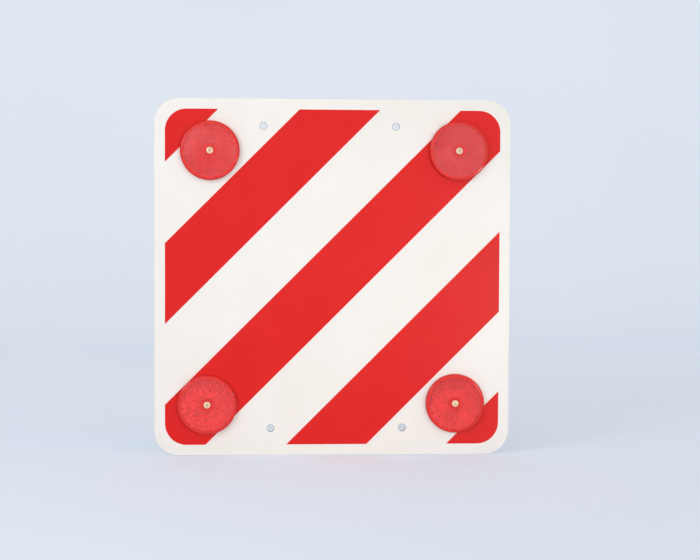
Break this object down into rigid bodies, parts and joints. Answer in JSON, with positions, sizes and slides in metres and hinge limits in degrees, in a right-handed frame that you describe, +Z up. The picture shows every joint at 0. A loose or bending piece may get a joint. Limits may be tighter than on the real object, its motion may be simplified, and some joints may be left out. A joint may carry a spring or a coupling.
{
  "type": "reflective warning board",
  "caption": "Square white plastic warning board with rounded corners, red diagonal bands, round red reflectors riveted near its corners and tie holes along its top and bottom.",
  "frame": {"origin": "centre of the panel's rear face, midway between the four tie holes", "axes": "+Z up the board, +X to the right as the face is seen, -Y out of the face, +Y out of the back"},
  "size_m": [0.5, 0.0178, 0.5],
  "materials": {
    "white_panel": "smooth white sheet, satin gloss",
    "red_band": "smooth signal red film, semi-gloss",
    "red_lens": "clear red moulded lens, polished face, prisms behind",
    "red_base": "moulded dark red",
    "rivet_aluminium": "bright, slightly warm",
    "pin_steel": "dull, broken end"
  },
  "bodies": {
    "root": {"board_panel": "white_panel", "red_band_upper_corner": "red_band", "red_band_upper": "red_band", "red_band_middle": "red_band", "red_band_lower": "red_band", "red_band_lower_corner": "red_band", "reflector_lens_top_left": "red_lens", "reflector_base_top_left": "red_base", "rivet_body_top_left": "rivet_aluminium", "rivet_pin_top_left": "pin_steel", "reflector_lens_top_right": "red_lens", "reflector_base_top_right": "red_base", "rivet_body_top_right": "rivet_aluminium", "rivet_pin_top_right": "pin_steel", "reflector_lens_bottom_left": "red_lens", "reflector_base_bottom_left": "red_base", "rivet_body_bottom_left": "rivet_aluminium", "rivet_pin_bottom_left": "pin_steel", "reflector_lens_bottom_right": "red_lens", "reflector_base_bottom_right": "red_base", "rivet_body_bottom_right": "rivet_aluminium", "rivet_pin_bottom_right": "pin_steel"}
  },
  "joints": []
}
